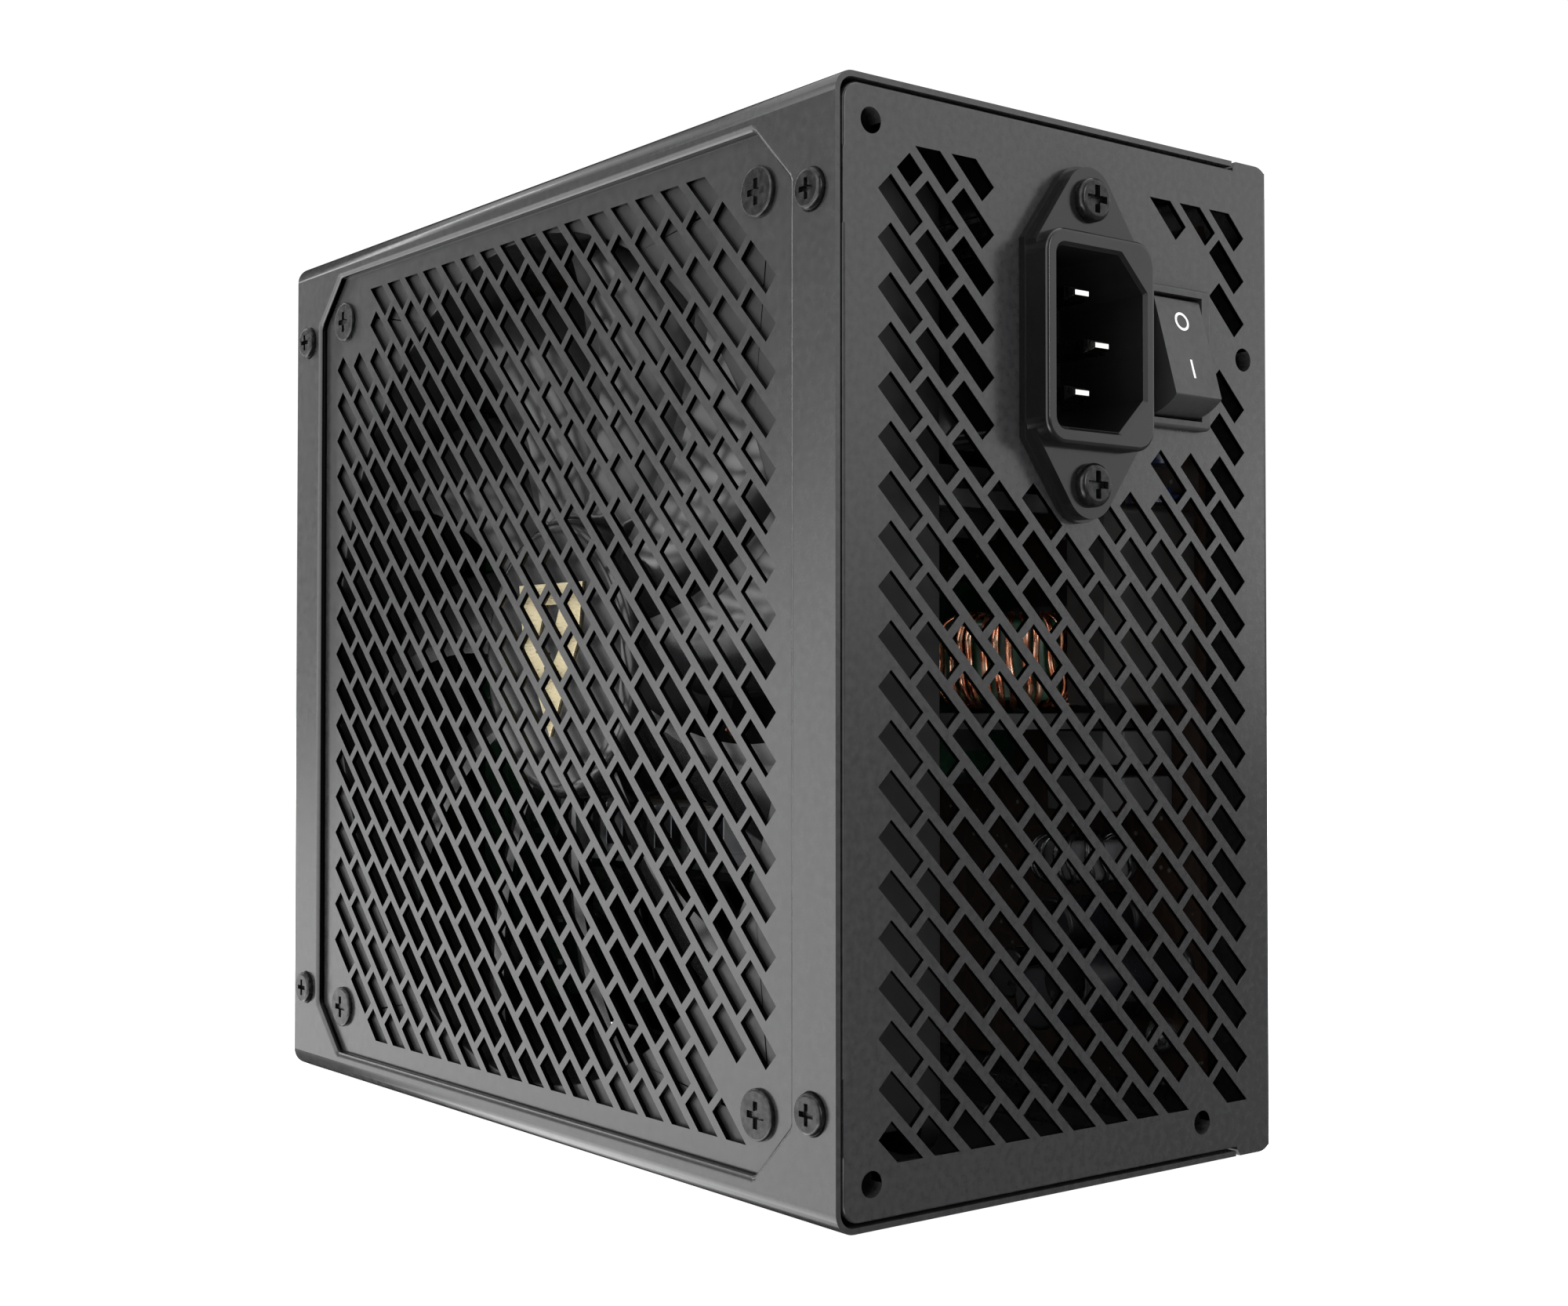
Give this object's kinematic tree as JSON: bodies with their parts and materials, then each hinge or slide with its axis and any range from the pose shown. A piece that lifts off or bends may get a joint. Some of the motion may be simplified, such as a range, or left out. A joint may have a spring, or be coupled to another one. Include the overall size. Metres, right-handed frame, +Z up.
{
  "type": "computer power supply unit",
  "caption": "Boxed computer power supply with a slotted fan cover, mains inlet and rocker switch on one end and outlet sockets on the other.",
  "frame": {"origin": "centre of the side wall that the unit stands on", "axes": "+Z up, +X out of the rear panel with the mains inlet, -Y out of the fan face"},
  "size_m": [0.1668, 0.087, 0.15],
  "materials": {
    "powder_steel": "fine satin powder coat",
    "black_screw": "blackened steel, semi-gloss",
    "fan_plastic": "satin moulded plastic",
    "blade_plastic": "glossy moulded plastic",
    "bright_steel": "ground steel",
    "bronze": "sintered bronze",
    "ferrite": "dull ferrite",
    "gold_badge": "brushed gold metal",
    "copper": "enamelled copper wire",
    "lamination": "stacked steel sheet",
    "green_board": "solder mask over glass fibre",
    "inlet_plastic": "fine-grained moulded plastic",
    "nickel": "nickel plate",
    "switch_plastic": "fine-grained moulded plastic",
    "white_ink": "moulded white inlay",
    "brown_board": "solder mask over paper laminate",
    "clear_film": "thin plastic film",
    "green_core": "coated iron powder",
    "yellow_core": "coated iron powder",
    "black_wire": "wire in black insulation",
    "black_plastic": "moulded plastic",
    "capacitor_sleeve": "shrink sleeve over aluminium",
    "film_block": "epoxy filled box",
    "grey_block": "grey epoxy",
    "blue_ceramic": "dipped ceramic",
    "heatsink_metal": "extruded aluminium",
    "fuse_body": "glass tube with metal caps",
    "tape_yellow": "polyester tape",
    "outlet_plastic": "moulded nylon",
    "tin": "tinned copper"
  },
  "bodies": {
    "chassis": {"base_tray": "powder_steel", "board_screws": "bright_steel", "boost_choke_core": "yellow_core", "boost_choke_cradle": "black_plastic", "boost_choke_winding": "copper", "bridge_rectifier": "black_plastic", "bulk_capacitors": "capacitor_sleeve", "bus_bars": "tin", "ceramic_capacitors": "blue_ceramic", "control_board": "green_board", "control_chips": "black_plastic", "cover_screws": "black_screw", "cover_shell": "powder_steel", "fan_bearing": "bronze", "fan_driver_board": "green_board", "fan_frame": "fan_plastic", "fan_screws": "black_screw", "fan_spider": "fan_plastic", "fan_stator_coils": "copper", "fan_stator_core": "lamination", "filter_choke_base": "black_plastic", "filter_choke_core": "green_core", "filter_choke_windings": "copper", "fuse": "fuse_body", "inlet_housing": "inlet_plastic", "inlet_nuts": "bright_steel", "inlet_pins": "nickel", "inlet_screws": "black_screw", "insulating_sheet": "clear_film", "large_film_capacitor": "film_block", "line_choke_core": "ferrite", "line_choke_winding": "black_wire", "main_board": "brown_board", "outlet_board": "green_board", "outlet_pins": "tin", "outlet_socket_medium": "outlet_plastic", "outlet_socket_wide": "outlet_plastic", "outlet_sockets_small": "outlet_plastic", "output_capacitors": "capacitor_sleeve", "output_choke_cores": "yellow_core", "output_choke_windings": "copper", "power_transistors": "black_plastic", "primary_heatsink": "heatsink_metal", "secondary_heatsink": "heatsink_metal", "small_film_capacitors": "grey_block", "standby_capacitors": "capacitor_sleeve", "switch_frame": "switch_plastic", "switch_terminals": "nickel", "transformer_bobbin": "black_plastic", "transformer_core": "ferrite", "transformer_windings": "tape_yellow"},
    "fan_rotor": {"fan_hub": "blade_plastic", "fan_blades": "blade_plastic", "fan_shaft": "bright_steel", "fan_magnet_ring": "ferrite", "fan_hub_badge": "gold_badge"},
    "power_rocker": {"switch_rocker": "switch_plastic", "switch_marks": "white_ink"}
  },
  "joints": [
    {"name": "fan_spin", "type": "hinge", "parent": "chassis", "child": "fan_rotor", "pos_m": [0, -0.0284, 0.075], "axis": [0, -1, 0], "continuous": true},
    {"name": "rocker_tilt", "type": "hinge", "parent": "chassis", "child": "power_rocker", "pos_m": [0.0794, 0.0206, 0.1186], "axis": [0, 1, 0], "range_deg": [0, 32.5]}
  ]
}
